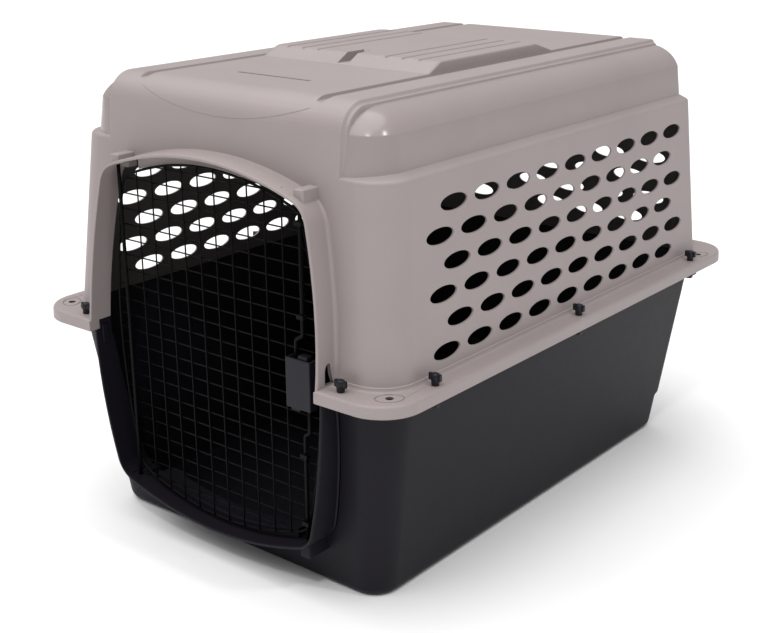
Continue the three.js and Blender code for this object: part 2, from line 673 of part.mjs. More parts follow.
// ---------------------------------------------------------------- guides of the latch rods, on the door
const GUIDE_Z = [452, 346, 178, 92];
const GUIDE = { halfX: 5, front: 4.6, halfZ: 2.5, slotHalf: 2.8 };
GUIDE_Z.forEach((z, i) => {
  const back = WIRE_Y - FRAME_WIRE / 2 - GAP;
  const strap = box(
    ROD_X - GUIDE.halfX, ROD_X + GUIDE.halfX, ROD_Y - GUIDE.front, back,
    z - GUIDE.halfZ, z + GUIDE.halfZ,
  );
  const slot = box(
    ROD_X - GUIDE.slotHalf, ROD_X + GUIDE.slotHalf, ROD_Y - GUIDE.slotHalf, back + 5,
    z - 2 * GUIDE.halfZ, z + 2 * GUIDE.halfZ,
  );
  place(`rod_guide_${i + 1}`, strap.subtract(slot), BLACK_WIRE);
});

// ---------------------------------------------------------------- flange bolts and wing nuts
function flangeBolt(x, y, underside) {
  const seat = underside - GAP;
  const head = rod(BOLT_HEAD.radius, x, y, seat - BOLT_HEAD.height, seat, 6);
  return head.add(rod(BOLT_R, x, y, seat - 1, FLANGE_TOP + BOLT_RISE, 10));
}

function wingNut(x, y) {
  const base = FLANGE_TOP + GAP;
  const hub = rod(NUT.hubR, x, y, base, base + NUT.hubHeight, 12);
  const wings = box(
    x - NUT.wingHalfX, x + NUT.wingHalfX, y - NUT.wingHalfY, y + NUT.wingHalfY,
    base + NUT.wingFoot, base + NUT.wingTop,
  );
  return hub.add(wings).subtract(rod(BOLT_R + 0.45, x, y, base - 1, base + BOLT_RISE + 0.4, 12));
}

BOLTS.forEach(([x, y, underside], i) => {
  place(`flange_bolt_${i + 1}`, flangeBolt(x, y, underside), HARDWARE);
  place(`wing_nut_${i + 1}`, wingNut(x, y), HARDWARE);
});

export default carrier;
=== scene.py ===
# Pet transport carrier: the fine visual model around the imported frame.
# Sizes are in millimetres, in the frame's own axes, unless metres are named; new_piece makes them metres.
import math

import bmesh
import bpy
from mathutils import Matrix, Vector


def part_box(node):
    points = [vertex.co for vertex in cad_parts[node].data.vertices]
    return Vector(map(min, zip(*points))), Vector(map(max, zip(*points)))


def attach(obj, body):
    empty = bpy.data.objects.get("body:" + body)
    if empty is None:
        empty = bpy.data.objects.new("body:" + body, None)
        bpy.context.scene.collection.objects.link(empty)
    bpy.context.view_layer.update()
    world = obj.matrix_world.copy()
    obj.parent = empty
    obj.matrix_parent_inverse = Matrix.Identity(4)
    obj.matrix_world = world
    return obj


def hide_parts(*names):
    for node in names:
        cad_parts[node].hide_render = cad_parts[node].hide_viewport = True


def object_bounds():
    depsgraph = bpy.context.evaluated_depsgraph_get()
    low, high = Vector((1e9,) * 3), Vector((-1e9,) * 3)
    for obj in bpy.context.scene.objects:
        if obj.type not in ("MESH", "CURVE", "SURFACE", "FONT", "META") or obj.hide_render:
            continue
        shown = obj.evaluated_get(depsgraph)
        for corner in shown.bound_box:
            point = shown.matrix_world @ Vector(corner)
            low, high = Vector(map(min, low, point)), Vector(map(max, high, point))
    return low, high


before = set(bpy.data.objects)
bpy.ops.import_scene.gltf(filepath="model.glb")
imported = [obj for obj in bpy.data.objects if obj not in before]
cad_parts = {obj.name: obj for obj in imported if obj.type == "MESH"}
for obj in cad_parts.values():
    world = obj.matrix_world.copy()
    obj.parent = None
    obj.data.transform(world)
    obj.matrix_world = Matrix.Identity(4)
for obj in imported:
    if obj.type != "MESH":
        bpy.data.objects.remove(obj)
cad_low, cad_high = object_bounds()
MM = 0.001
FAR = 900                             # past everything, for cutting tools

# ------------------------------------------------------------------ the object's own dimensions
WALL = 2.5
FLANGE_HALF_X = cad_high.x / MM
FLANGE_HALF_Y = cad_high.y / MM
FLANGE_RADIUS = 52
FLANGE_TOP = 278
LIP_BOTTOM = 263
LIP_RETURN_REAR = -390.5
SEAM = FLANGE_TOP - WALL              # parting plane of the two shells
GAP = 0.3

SHELL_HALF_X = 267.3
SHELL_FRONT = -375
SHELL_REAR = 349
SIDE_DRAFT = math.tan(math.radians(5))
REAR_DRAFT = math.tan(math.radians(3.2))
FRONT_RADIUS = 46
REAR_RADIUS = 17

# Ovals through the walls: "first" and "top" place the first hole, "pitch" and "row" step along and down.
VENT_HALF_LENGTH = 25.1
VENT_HALF_HEIGHT = 9.1
SIDE_VENTS = {"columns": 9, "rows": 6, "first": -267.7, "top": 465.1, "pitch": 64, "row": 32.65}
SIDE_VENT_STAGGER = 28.8
REAR_VENTS = {"columns": 6, "rows": 4, "top": 410, "pitch": 67.4, "row": 31.1}

LEDGE_Z = 503
PAD_FOOT = 494
PAD_LINE_Z = 510                      # the pads' outline is upright through the wall's line here
PAD_INSET_SIDE = 14
PAD_INSET_FRONT = 4.5
ROOF_TOP = 580.4
ROOF_ROLL = 36
BAND_HALF_X = 189.5
PANEL_HALF_X = 134                    # the middle of the roof, between the two channels
PANEL_ARC_Z = 547                     # lowest point of the arc that ends it on the front roll
RAIL_X = 149.4                        # outer edge of each channel
CHANNEL_FRONT = -336
CHANNEL_REAR = 420
PLATFORM_TOP = cad_high.z / MM
PLATFORM_HALF_X = 135
PLATFORM_FRONT = -112
PLATFORM_REAR = 106
GRIP_GROOVES = (55.6, 81.4, 107.1)    # along the platform, on each side
GRIP_GROOVE_RADIUS = 3.6

TUB_HALF_X = 264.7
TUB_FRONT = -374
TUB_REAR = 346
FLOOR_HALF_X = 227
FLOOR_FRONT = -344
FLOOR_REAR = 339
FLOOR_RADIUS = 34
TUB_STEP_Z = 55                       # small step low on the rear wall
TUB_STEP = 8

DOORWAY_Z = 272.4                     # the door frame is symmetrical above and below this
HOOD = {"half_x": 187.5, "half_z": 229.7, "arch": 427, "side": 757, "corner": 16}
HOOD_WALL = 4
CROWN_SAVING = 0.75                   # how much less the hood's foot flares over the crown than beside it
UPPER_RIM = {"front": -404.6, "lean": 17, "bend": 0.8}
LOWER_RIM = {"front": -397, "lean": 5, "bend": 2}
RIM_SPAN = 228                        # the rims' height above and below the parting plane
STOP_FRONT = -366
STOP_HALF_X = 122
STOP_DEPTH = 12
KEEPER_X = 148.3
KEEPER_SHIFT = 1.2
KEEPER_HALF_X = 7.2

BOLT_HOLE_R = 2.8
POCKET_HALF = 8
TIE_HOLE_R = 4.6
TIE_HOLES = [(side * x, y) for side in (-1, 1) for x, y in ((265.5, -371.5), (276, 334))]

DOOR = {"half_x": 168, "half_z": 221, "arch": 350, "side": 757, "corner": 14}
PANEL_Z = 270.5
WIRE_Y = -371.8
WIRE_RADIUS = 0.95
FRAME_RADIUS = 1.6
LEVEL_WIRES = {"count": 22, "pitch": 19.47, "top": 210.1}
UPRIGHT_WIRES = {"count": 10, "pitch": 26.16}
ROD_RADIUS = 2.3
ROD_BEND = 3
ROD_Y = -376
ROD_X = 146.5
UPPER_ROD_X = 136                     # where each latch rod enters the latch
LOWER_ROD_X = 154
UPPER_TAB_X = 153
LOWER_TAB_X = 141
TAB_HALF_X = 7
TAB_HEIGHT = 10
SLIDER_HEIGHT = 15
LATCH_WALL = 2.5
LATCH_WEB_HALF = 1.5

# ------------------------------------------------------------------ materials


def shader(name, colour, roughness, bump_scale, bump, metallic=0.0, bevel=0.0, mottle=0.03, rough_span=0.06,
           specular=0.5):
    """A moulded or coated surface: mottled colour, uneven gloss, fine grain and softened edges."""
    material = bpy.data.materials.new(name)
    material.use_nodes = True
    nodes = material.node_tree.nodes
    links = material.node_tree.links
    surface = nodes["Principled BSDF"]
    surface.inputs["Metallic"].default_value = metallic
    surface.inputs["Specular IOR Level"].default_value = specular
    place = nodes.new("ShaderNodeTexCoord")

    cloud = nodes.new("ShaderNodeTexNoise")
    cloud.inputs["Scale"].default_value = 9
    cloud.inputs["Detail"].default_value = 5
    links.new(place.outputs["Object"], cloud.inputs["Vector"])

    tint = nodes.new("ShaderNodeValToRGB")
    tint.color_ramp.elements[0].position = 0.3
    tint.color_ramp.elements[1].position = 0.7
    tint.color_ramp.elements[0].color = [c * (1 - mottle) for c in colour] + [1]
    tint.color_ramp.elements[1].color = [c * (1 + mottle) for c in colour] + [1]
    links.new(cloud.outputs["Fac"], tint.inputs["Fac"])
    links.new(tint.outputs["Color"], surface.inputs["Base Color"])

    smear = nodes.new("ShaderNodeTexNoise")
    smear.inputs["Scale"].default_value = 55
    smear.inputs["Detail"].default_value = 3
    links.new(place.outputs["Object"], smear.inputs["Vector"])
    gloss = nodes.new("ShaderNodeMapRange")
    gloss.inputs["To Min"].default_value = roughness - rough_span / 2
    gloss.inputs["To Max"].default_value = roughness + rough_span / 2
    links.new(smear.outputs["Fac"], gloss.inputs["Value"])
    links.new(gloss.outputs["Result"], surface.inputs["Roughness"])

    grain = nodes.new("ShaderNodeTexNoise")
    grain.inputs["Scale"].default_value = bump_scale
    grain.inputs["Detail"].default_value = 2
    links.new(place.outputs["Object"], grain.inputs["Vector"])
    relief = nodes.new("ShaderNodeBump")
    relief.inputs["Strength"].default_value = bump
    relief.inputs["Distance"].default_value = 0.0004
    links.new(grain.outputs["Fac"], relief.inputs["Height"])
    if bevel:
        soft_edge = nodes.new("ShaderNodeBevel")
        soft_edge.samples = 6
        soft_edge.inputs["Radius"].default_value = bevel * MM
        links.new(soft_edge.outputs["Normal"], relief.inputs["Normal"])
    links.new(relief.outputs["Normal"], surface.inputs["Normal"])
    return material


TAUPE = shader("taupe_plastic", (0.3, 0.256, 0.251), 0.47, 900, 0.22, bevel=1.2)
TAUPE_PAD = shader("taupe_polished_pad", (0.285, 0.243, 0.238), 0.23, 500, 0.04, bevel=1.6, rough_span=0.02)
# Painted shade: a near-black taupe for the shell's inner faces, standing in for the shade inside the shell;
# the plastic itself is the same taupe as outside.
TAUPE_PAINTED_SHADE = shader("taupe_painted_shade", (0.075, 0.065, 0.063), 0.6, 900, 0.2, specular=0.2)
CHARCOAL = shader("charcoal_plastic", (0.0085, 0.0072, 0.0108), 0.5, 800, 0.22, bevel=1.2, mottle=0.08,
                  specular=0.14)
SLATE = shader("slate_latch_plastic", (0.0105, 0.0108, 0.0152), 0.42, 900, 0.18, mottle=0.05, specular=0.2)
KNOB = shader("dark_nylon", (0.0085, 0.0083, 0.0125), 0.36, 1100, 0.2, mottle=0.08, specular=0.24)
SLIDER = shader("latch_slider_nylon", (0.0045, 0.0045, 0.0068), 0.45, 1100, 0.2, mottle=0.08, specular=0.2)
WIRE = shader("black_coated_wire", (0.002, 0.002, 0.0023), 0.45, 1500, 0.15, mottle=0.1, specular=0.09)
SPRING = shader("spring_steel", (0.42, 0.43, 0.45), 0.3, 1800, 0.1, metallic=1.0)
FLOOR = shader("studio_floor", (0.9, 0.9, 0.9), 0.9, 40, 0.0, mottle=0.004, specular=0.1)

# ------------------------------------------------------------------ mesh helpers


def box_centre(node):
    low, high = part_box(node)
    return [(a + b) / 2 / MM for a, b in zip(low, high)]


def box_span(node, axis):
    low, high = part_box(node)
    return low[axis] / MM, high[axis] / MM


def new_piece(name, vertices, faces, materials, material_index=0):
    mesh = bpy.data.meshes.new(name)
    mesh.from_pydata([Vector(v) * MM for v in vertices], [], faces)
    for material in materials:
        mesh.materials.append(material)
    mesh.polygons.foreach_set("material_index", [material_index] * len(mesh.polygons))
    form = bmesh.new()
    form.from_mesh(mesh)
    bmesh.ops.recalc_face_normals(form, faces=form.faces)
    form.to_mesh(mesh)
    form.free()
    piece = bpy.data.objects.new(name, mesh)
    bpy.context.scene.collection.objects.link(piece)
    return piece


def loft(name, rings, materials, material_index=0, closed=False):
    """Skin through rings of equal length; closed joins the last ring to the first instead of capping."""
    size = len(rings[0])
    vertices = [p for ring in rings for p in ring]
    faces = []
    count = len(rings) if closed else len(rings) - 1
    for r in range(count):
        low = r * size
        high = ((r + 1) % len(rings)) * size
        for i in range(size):
            j = (i + 1) % size
            faces.append((low + i, low + j, high + j, high + i))
    if not closed:
        faces.append(tuple(reversed(range(size))))
        faces.append(tuple(range(len(vertices) - size, len(vertices))))
    return new_piece(name, vertices, faces, materials, material_index)


def block(name, x, y, z, materials, round_by=0.0):
    """Box between two values on each axis, its edges rounded by round_by."""
    corners = [(a, b, c) for c in z for b in y for a in x]
    faces = [(0, 2, 3, 1), (4, 5, 7, 6), (0, 1, 5, 4), (2, 6, 7, 3), (0, 4, 6, 2), (1, 3, 7, 5)]
    piece = new_piece(name, corners, faces, materials)
    if round_by:
        form = bmesh.new()
        form.from_mesh(piece.data)
        edges = form.edges[:]
        bmesh.ops.bevel(form, geom=edges, offset=round_by * MM, segments=4, profile=0.5, affect="EDGES")
        form.to_mesh(piece.data)
        form.free()
    return piece


def prism(name, outline, along, span, materials, material_index=0):
    """Outline of (a, b) pairs extruded along X or Y between the two values of span."""
    orders = {"x": lambda a, b, t: (t, a, b), "y": lambda a, b, t: (a, t, b)}
    rings = [[orders[along](a, b, t) for a, b in outline] for t in span]
    return loft(name, rings, materials, material_index)


def joined(name, pieces):
    """One piece made of several separate closed bodies."""
    form = bmesh.new()
    for piece in pieces:
        form.from_mesh(piece.data)
    materials = list(pieces[0].data.materials)
    for piece in pieces:
        discard(piece)
    mesh = bpy.data.meshes.new(name)
    form.to_mesh(mesh)
    form.free()
    for material in materials:
        mesh.materials.append(material)
    whole = bpy.data.objects.new(name, mesh)
    bpy.context.scene.collection.objects.link(whole)
    return whole


def discard(piece):
    mesh = piece.data
    bpy.data.objects.remove(piece)
    if mesh.users == 0:
        bpy.data.meshes.remove(mesh)


def boolean(piece, operation, tool):
    """Change piece by tool, which is used up."""
    change = piece.modifiers.new(operation, "BOOLEAN")
    change.operation = operation
    change.solver = "MANIFOLD"
    change.object = tool
    graph = bpy.context.evaluated_depsgraph_get()
    mesh = bpy.data.meshes.new_from_object(piece.evaluated_get(graph))
    piece.modifiers.clear()
    old = piece.data
    piece.data = mesh
    bpy.data.meshes.remove(old)
    discard(tool)
    return piece


def add(piece, *tools):
    for tool in tools:
        boolean(piece, "UNION", tool)
    return piece


def cut(piece, *tools):
    for tool in tools:
        boolean(piece, "DIFFERENCE", tool)
    return piece


def keep_inside(piece, tool):
    return boolean(piece, "INTERSECT", tool)


def finish_surface(piece, sharp=32, weighted=True):
    """Smooth shading, with edges over `sharp` degrees kept and flat faces kept flat."""
    form = bmesh.new()
    form.from_mesh(piece.data)
    bmesh.ops.remove_doubles(form, verts=form.verts[:], dist=0.00002)
    bmesh.ops.dissolve_degenerate(form, edges=form.edges[:], dist=0.00001)
    for face in form.faces:
        face.smooth = True
    for edge in form.edges:
        edge.smooth = edge.is_manifold and edge.calc_face_angle(0) < math.radians(sharp)
    form.to_mesh(piece.data)
    form.free()
    if weighted:
        even = piece.modifiers.new("even", "WEIGHTED_NORMAL")
        even.keep_sharp = True
        even.weight = 80
    return piece


def smoothed_path(points, bend):
    """Polyline whose inner corners become quadratic bends that start `bend` away from each corner."""
    points = [Vector(p) for p in points]
    path = [points[0]]
    for before, corner, after in zip(points, points[1:], points[2:]):
        back = corner + (before - corner).normalized() * min(bend, (before - corner).length / 2)
        onward = corner + (after - corner).normalized() * min(bend, (after - corner).length / 2)
        for i in range(7):
            t = i / 6
            path.append(back * (1 - t) ** 2 + corner * 2 * t * (1 - t) + onward * t * t)
    path.append(points[-1])
    return path


def tube_rings(path, radius, sides):
    """Rings along a path, turned with it, with domed ends."""
    path = [Vector(p) for p in path]
    tangents = [(b - a).normalized() for a, b in zip(path, path[1:])]
    tangents = [tangents[0]] + [(a + b).normalized() for a, b in zip(tangents, tangents[1:])] + [tangents[-1]]
    side = tangents[0].orthogonal().normalized()
    turn = [2 * math.pi * i / sides for i in range(sides)]
    rings = []
    for k, (point, tangent) in enumerate(zip(path, tangents)):
        side = (side - tangent * side.dot(tangent)).normalized()
        other = tangent.cross(side)

        def ring(scale, shift):
            centre = point + tangent * shift
            return [centre + (side * math.cos(t) + other * math.sin(t)) * radius * scale for t in turn]

        if k == 0:
            rings.append(ring(0.55, -radius * 0.35))
        rings.append(ring(1, 0))
        if k == len(path) - 1:
            rings.append(ring(0.55, radius * 0.35))
    return rings


def tube(name, path, radius, materials, sides):
    return loft(name, tube_rings(path, radius, sides), materials)


def lathe(name, profile, centre, materials, sides=24, material_index=0):
    """Solid of revolution about a vertical axis; profile is (radius, height) pairs from the bottom up."""
    turn = [2 * math.pi * i / sides for i in range(sides)]
    rings = [[(centre[0] + r * math.cos(t), centre[1] + r * math.sin(t), centre[2] + h) for t in turn]
             for r, h in profile]
    return loft(name, rings, materials, material_index)


# ------------------------------------------------------------------ outlines


def plan(z, half_x, front, rear, front_radius, rear_radius, steps=14):
    """Rectangle with rounded corners at one height."""
    corners = (
        (half_x - front_radius, front + front_radius, front_radius, -90),
        (half_x - rear_radius, rear - rear_radius, rear_radius, 0),
        (-half_x + rear_radius, rear - rear_radius, rear_radius, 90),
        (-half_x + front_radius, front + front_radius, front_radius, 180),
    )
    ring = []
    for x, y, radius, start in corners:
        for i in range(steps + 1):
            angle = math.radians(start + 90 * i / steps)
            ring.append((x + radius * math.cos(angle), y + radius * math.sin(angle), z))
    return ring


def shell_plan(z, inset, rear_inset=None):
    """The upper walls at height z, moved inwards by inset."""
    rise = z - FLANGE_TOP
    rear_inset = inset if rear_inset is None else rear_inset
    return plan(
        z,
        SHELL_HALF_X - rise * SIDE_DRAFT - inset,
        SHELL_FRONT + rise * SIDE_DRAFT + inset,
        SHELL_REAR - rise * REAR_DRAFT - rear_inset,
        max(FRONT_RADIUS - inset, 3),
        max(REAR_RADIUS - rear_inset, 3),
    )


def flange_plan(z, inset):
    radius = FLANGE_RADIUS - inset
    half_y = FLANGE_HALF_Y - inset
    return plan(z, FLANGE_HALF_X - inset, -half_y, half_y, radius, radius)


def shell_front(z):
    return SHELL_FRONT + (z - FLANGE_TOP) * SIDE_DRAFT


def tub_front(z):
    return FLOOR_FRONT + (TUB_FRONT - FLOOR_FRONT) * z / LIP_BOTTOM


def barrel(shape, grow=0.0):
    """Barrel outline in (x, z) about its centre: bowed sides, top and bottom, and rounded corners."""
    w = shape["half_x"] + grow
    h = shape["half_z"] + grow
    side = shape["side"]
    arch = shape["arch"]
    corner_x, corner_z = w, h
    for _ in range(12):
        corner_x = w - corner_z ** 2 / (2 * side)
        corner_z = h - corner_x ** 2 / (2 * arch)

    def on_arch(x):
        return Vector((x, h - x * x / (2 * arch)))

    def on_side(z):
        return Vector((w - z * z / (2 * side), z))

    radius = max(shape["corner"] + grow, 2)
    start = on_side(corner_z - radius)
    end = on_arch(corner_x - radius)
    middle = Vector((corner_x, corner_z))
    side_steps, bend_steps, arch_steps = 8, 8, 14
    quarter = [on_side((corner_z - radius) * i / side_steps) for i in range(side_steps)]
    for i in range(bend_steps + 1):
        t = i / bend_steps
        quarter.append(start * (1 - t) ** 2 + middle * 2 * t * (1 - t) + end * t * t)
    quarter += [on_arch((corner_x - radius) * (1 - i / arch_steps)) for i in range(1, arch_steps)]
    mirrored = [Vector((-p.x, p.y)) for p in reversed(quarter[1:])]
    upper = quarter + [Vector((0, h))] + mirrored + [Vector((-w, 0))]
    return upper + [Vector((p.x, -p.y)) for p in reversed(upper[1:-1])]


def barrel_prism(name, shape, grow, y_span, materials):
    outline = [(p.x, DOORWAY_Z + p.y) for p in barrel(shape, grow)]
    return prism(name, outline, "y", y_span, materials)


# ------------------------------------------------------------------ hood round the doorway, both halves
def hood(name, wall_front, rim, foot, materials):
    """Tube round the doorway: flared foot on the front wall, rounded rim, straight inner face."""
    skin = HOOD_WALL
    section = [
        (skin + foot, lambda z: wall_front(z) + 2.4),
        (skin + foot, lambda z: wall_front(z) - 0.1),
        (skin + foot * 0.62, lambda z: wall_front(z) - foot * 0.07),
        (skin + foot * 0.3, lambda z: wall_front(z) - foot * 0.3),
        (skin + foot * 0.12, lambda z: wall_front(z) - foot * 0.62),
        (skin + 0.6, lambda z: wall_front(z) - foot),
        (skin, lambda z: rim(z) + 1.6),
        (skin - 0.5, lambda z: rim(z) + 0.5),
        (skin - 1.5, rim),
        (1.3, rim),
        (0.4, lambda z: rim(z) + 0.4),
        (0, lambda z: rim(z) + 1.4),
        (0, lambda z: wall_front(z) + 2.4),
    ]
    rings = []
    for grow, depth in section:
        lowered = dict(HOOD, half_z=HOOD["half_z"] - max(grow - skin, 0) * CROWN_SAVING)
        rings.append([(p.x, depth(DOORWAY_Z + p.y), DOORWAY_Z + p.y) for p in barrel(lowered, grow)])
    return loft(name, rings, materials, closed=True)


def upper_rim(z):
    rise = max(0, (z - SEAM) / RIM_SPAN)
    return UPPER_RIM["front"] + UPPER_RIM["lean"] * rise ** UPPER_RIM["bend"]


def lower_rim(z):
    drop = max(0, (SEAM - z) / RIM_SPAN)
    return LOWER_RIM["front"] + LOWER_RIM["lean"] * drop ** LOWER_RIM["bend"]


def above_seam(materials):
    return block("above_seam", (-FAR, FAR), (-FAR, FAR), (SEAM, FAR), materials)


def below_seam(materials):
    return block("below_seam", (-FAR, FAR), (-FAR, FAR), (-FAR, SEAM - GAP), materials)


def keeper(name, side, y, z, materials):
    centre = side * KEEPER_X + KEEPER_SHIFT
    return block(name, (centre - KEEPER_HALF_X, centre + KEEPER_HALF_X), y, z, materials, round_by=1.6)


def door_stop(name, back, materials):
    """Strip across the middle of the hood that the closed door rests against."""
    strip = barrel_prism(name, HOOD, 1.5, (STOP_FRONT, back), materials)
    inner = dict(HOOD, half_z=HOOD["half_z"] - STOP_DEPTH)
    cut(strip, barrel_prism("stop_opening", inner, 0, (STOP_FRONT - 20, back + 20), materials))
    span = block("stop_span", (-STOP_HALF_X, STOP_HALF_X), (-FAR, 0), (0, FAR), materials)
    return keep_inside(strip, span)


def rod_bore(name, side, direction, materials):
    z_span = sorted((DOORWAY_Z + direction * 186, DOORWAY_Z + direction * 217))
    centre = (side * ROD_X, ROD_Y, 0)
    return lathe(name, [(ROD_RADIUS + 0.6, z) for z in z_span], centre, materials, sides=18)


# ------------------------------------------------------------------ upper shell
SHELL_MATERIALS = (TAUPE, TAUPE_PAD, TAUPE_PAINTED_SHADE)
POLISHED = 1                          # indices into SHELL_MATERIALS
# Index of the painted-shade material, put on the shell's inner faces, the tie holes' walls and the jamb
# slot's walls.
PAINTED_SHADE = 2


def wall_solid():
    """Walls from the flared foot on the flange up to the ledge under the pads."""
    foot = [(-WALL, 4.5), (0, 4.5), (0.5, 3), (1.4, 2), (3, 1.3), (5.2, 1.1), (5.8, 0)]
    rings = [shell_plan(FLANGE_TOP + rise, -grow) for rise, grow in foot]
    ledge = [(-4, 0), (-1.8, 0.5), (-0.2, 1.8), (0.6, 4), (4.6, 14), (5, 30)]
    rings += [shell_plan(LEDGE_Z + rise, inset, rear_inset=min(inset, 2)) for rise, inset in ledge]
    return loft("top_shell_fine", rings, SHELL_MATERIALS)


def pad_profile(inner=0.0):
    """(height, inset) pairs up the side of a pad, over its crease and roll."""
    p0, p1, p2, p3 = (4.9, 548), (11, 560.5), (24, 571.5), (46.4, 573)
    steps = 12
    profile = [(PAD_FOOT, -1.3 + inner), (512, 0.1 + inner), (530, 2.3 + inner), (546.8, 4.2 + inner)]
    for i in range(steps + 1):
        t = i / steps
        blend = ((1 - t) ** 3, 3 * t * (1 - t) ** 2, 3 * t * t * (1 - t), t ** 3)
        inset = sum(b * p[0] for b, p in zip(blend, (p0, p1, p2, p3)))
        z = sum(b * p[1] for b, p in zip(blend, (p0, p1, p2, p3)))
        profile.append((z - inner, inset + inner * 0.6))
    return profile


def pad_ring(z, inset, steps=14, rear_wall=0.0):
    """Pad outline, moved inwards by inset; rear_wall moves its rear inwards."""
    rise = PAD_LINE_Z - FLANGE_TOP
    half_x = SHELL_HALF_X - rise * SIDE_DRAFT - PAD_INSET_SIDE - inset
    front = SHELL_FRONT + rise * SIDE_DRAFT + PAD_INSET_FRONT + inset
    rear = SHELL_REAR - (z - FLANGE_TOP) * REAR_DRAFT - 0.8 - min(max(inset - 5, 0) * 0.12, 3) - rear_wall
    front_radius = max(42 - inset * 0.62, 10)
    rear_radius = max(15 - inset * 0.25, 4)
    return plan(z, half_x, front, rear, front_radius, rear_radius, steps)


def pads_solid():
    rings = [pad_ring(z, inset) for z, inset in pad_profile()]
    return loft("pads", rings, SHELL_MATERIALS, POLISHED)


def roof_profile(inset, rear_wall):
    """Front wall, roll, roof and rear wall in (y, z), moved inwards by inset."""
    rear_inset = rear_wall or min(inset * 0.3, 2)
    top = ROOF_TOP - inset
    radius = ROOF_ROLL - inset
    centre_z = top - radius
    bottom = PAD_FOOT + 2
    wall = shell_front(centre_z) + inset
    outline = [(shell_front(bottom) + inset, bottom)]
    for i in range(13):
        angle = math.radians(90 * i / 12)
        outline.append((wall + radius * (1 - math.cos(angle)), centre_z + radius * math.sin(angle)))

    def rear(z):
        return SHELL_REAR - (z - FLANGE_TOP) * REAR_DRAFT - rear_inset - 0.4

    rear_roll = 5
    for i in range(5):
        angle = math.radians(90 * i / 4)
        y = rear(top) - rear_roll + rear_roll * math.sin(angle)
        outline.append((y, top - rear_roll + rear_roll * math.cos(angle)))
    outline.append((rear(bottom), bottom))
    return outline


def band(name, edge, material_index=0, rear_wall=0.0):
    """Roof profile carried across the shell; edge is (x, inset) pairs for one side."""
    stations = [(-x, inset) for x, inset in edge] + [(x, inset) for x, inset in reversed(edge)]
    rings = [[(x, y, z) for y, z in roof_profile(inset, rear_wall)] for x, inset in stations]
    return loft(name, rings, SHELL_MATERIALS, material_index)


def band_solid():
    """The roof and front between the pads, with a rounded edge and a narrow groove beside each pad."""
    groove = [(-1.4, 9), (0, 5.4), (1, 4.8), (2.6, 4.3)]
    rounded = [(3.6, 3.2), (4.4, 1.5), (5.4, 0.5), (7.2, 0.1), (9.5, 0)]
    return band("band", [(BAND_HALF_X - inwards, inset) for inwards, inset in groove + rounded])


def centre_panel():
    """The middle of the roof, a shade proud, ending over the front roll in a shallow arc."""
    edge = [(1, 1), (0.4, 0), (-1, -0.25), (-3, -0.32)]
    panel = band("centre_panel", [(PANEL_HALF_X + outwards, inset) for outwards, inset in edge])
    reach = PANEL_HALF_X + 10
    arc = [(x, PANEL_ARC_Z + 0.00125 * x * x) for x in [reach * (i / 16 - 1) for i in range(33)]]
    outline = arc + [(reach, FAR), (-reach, FAR)]
    return keep_inside(panel, prism("panel_limit", outline, "y", (-FAR, FAR), SHELL_MATERIALS))


def roof_channel(side):
    inner = [(-0.5, 3), (0.6, -1.4), (1.6, -4.4), (3.4, -5.2)]
    outer = [(-5.4, -5.2), (-3.6, -4.4), (-1.6, -0.6), (0, 3)]
    outline = [(side * (PANEL_HALF_X + x), ROOF_TOP + rise) for x, rise in inner]
    outline += [(side * (RAIL_X + x), ROOF_TOP + rise) for x, rise in outer]
    channel = prism("channel", outline, "y", (CHANNEL_FRONT, CHANNEL_REAR), SHELL_MATERIALS)
    return add(channel, channel_end(side))


def channel_end(side):
    """Rounded front end of a roof channel."""
    centre = (side * (PANEL_HALF_X + 8.4), CHANNEL_FRONT, ROOF_TOP)
    return lathe("channel_end", [(3.4, -4.6), (7.4, -0.8), (8.6, 3)], centre, SHELL_MATERIALS)


def platform():
    """Raised grip with ramps before and behind, grooves along it and a finger notch at the front."""
    front = PLATFORM_FRONT
    rear = PLATFORM_REAR

    def ring(inset, z, y_front, y_rear, corner):
        return plan(z, PLATFORM_HALF_X - inset, y_front, y_rear, corner, corner, 6)

    rings = [
        ring(0, ROOF_TOP - 3.4, front - 24.5, rear + 37.5, 5),
        ring(0.2, ROOF_TOP + 0.6, front - 22, rear + 34.5, 6),
        ring(1.2, PLATFORM_TOP - 2.6, front - 4.6, rear + 7.4, 9),
        ring(2, PLATFORM_TOP - 1, front - 2, rear + 3.4, 10),
        ring(3.2, PLATFORM_TOP - 0.25, front - 0.3, rear + 1, 10),
        ring(5, PLATFORM_TOP - 0.02, front + 2, rear - 2, 10),
    ]
    raised = loft("platform", rings, SHELL_MATERIALS)
    radius = GRIP_GROOVE_RADIUS
    turn = [2 * math.pi * i / 20 for i in range(20)]
    height = PLATFORM_TOP + 1.4
    for side in (-1, 1):
        for x in GRIP_GROOVES:
            section = [(side * x + radius * math.cos(t), height + radius * math.sin(t)) for t in turn]
            cut(raised, prism("grip_groove", section, "y", (front - 4, rear + 5), SHELL_MATERIALS))
    notch = [
        (front - 26, ROOF_TOP + 1.4),
        (front - 26, ROOF_TOP + 30),
        (front + 36, ROOF_TOP + 30),
        (front + 33, PLATFORM_TOP + 1),
        (front + 27, ROOF_TOP + 5),
        (front + 20, ROOF_TOP + 1.4),
    ]
    return cut(raised, prism("finger_notch", notch, "x", (-8.4, 8.4), SHELL_MATERIALS))


def vent(centre, across):
    """Oval prism through a wall; across is the axis it pierces."""
    x, y, z = centre
    along, through = (y, x) if across == "x" else (x, y)
    turn = [2 * math.pi * i / 32 for i in range(32)]
    outline = [(along + VENT_HALF_LENGTH * math.cos(t), z + VENT_HALF_HEIGHT * math.sin(t)) for t in turn]
    return prism("vent", outline, across, (through - 14, through + 14), SHELL_MATERIALS)


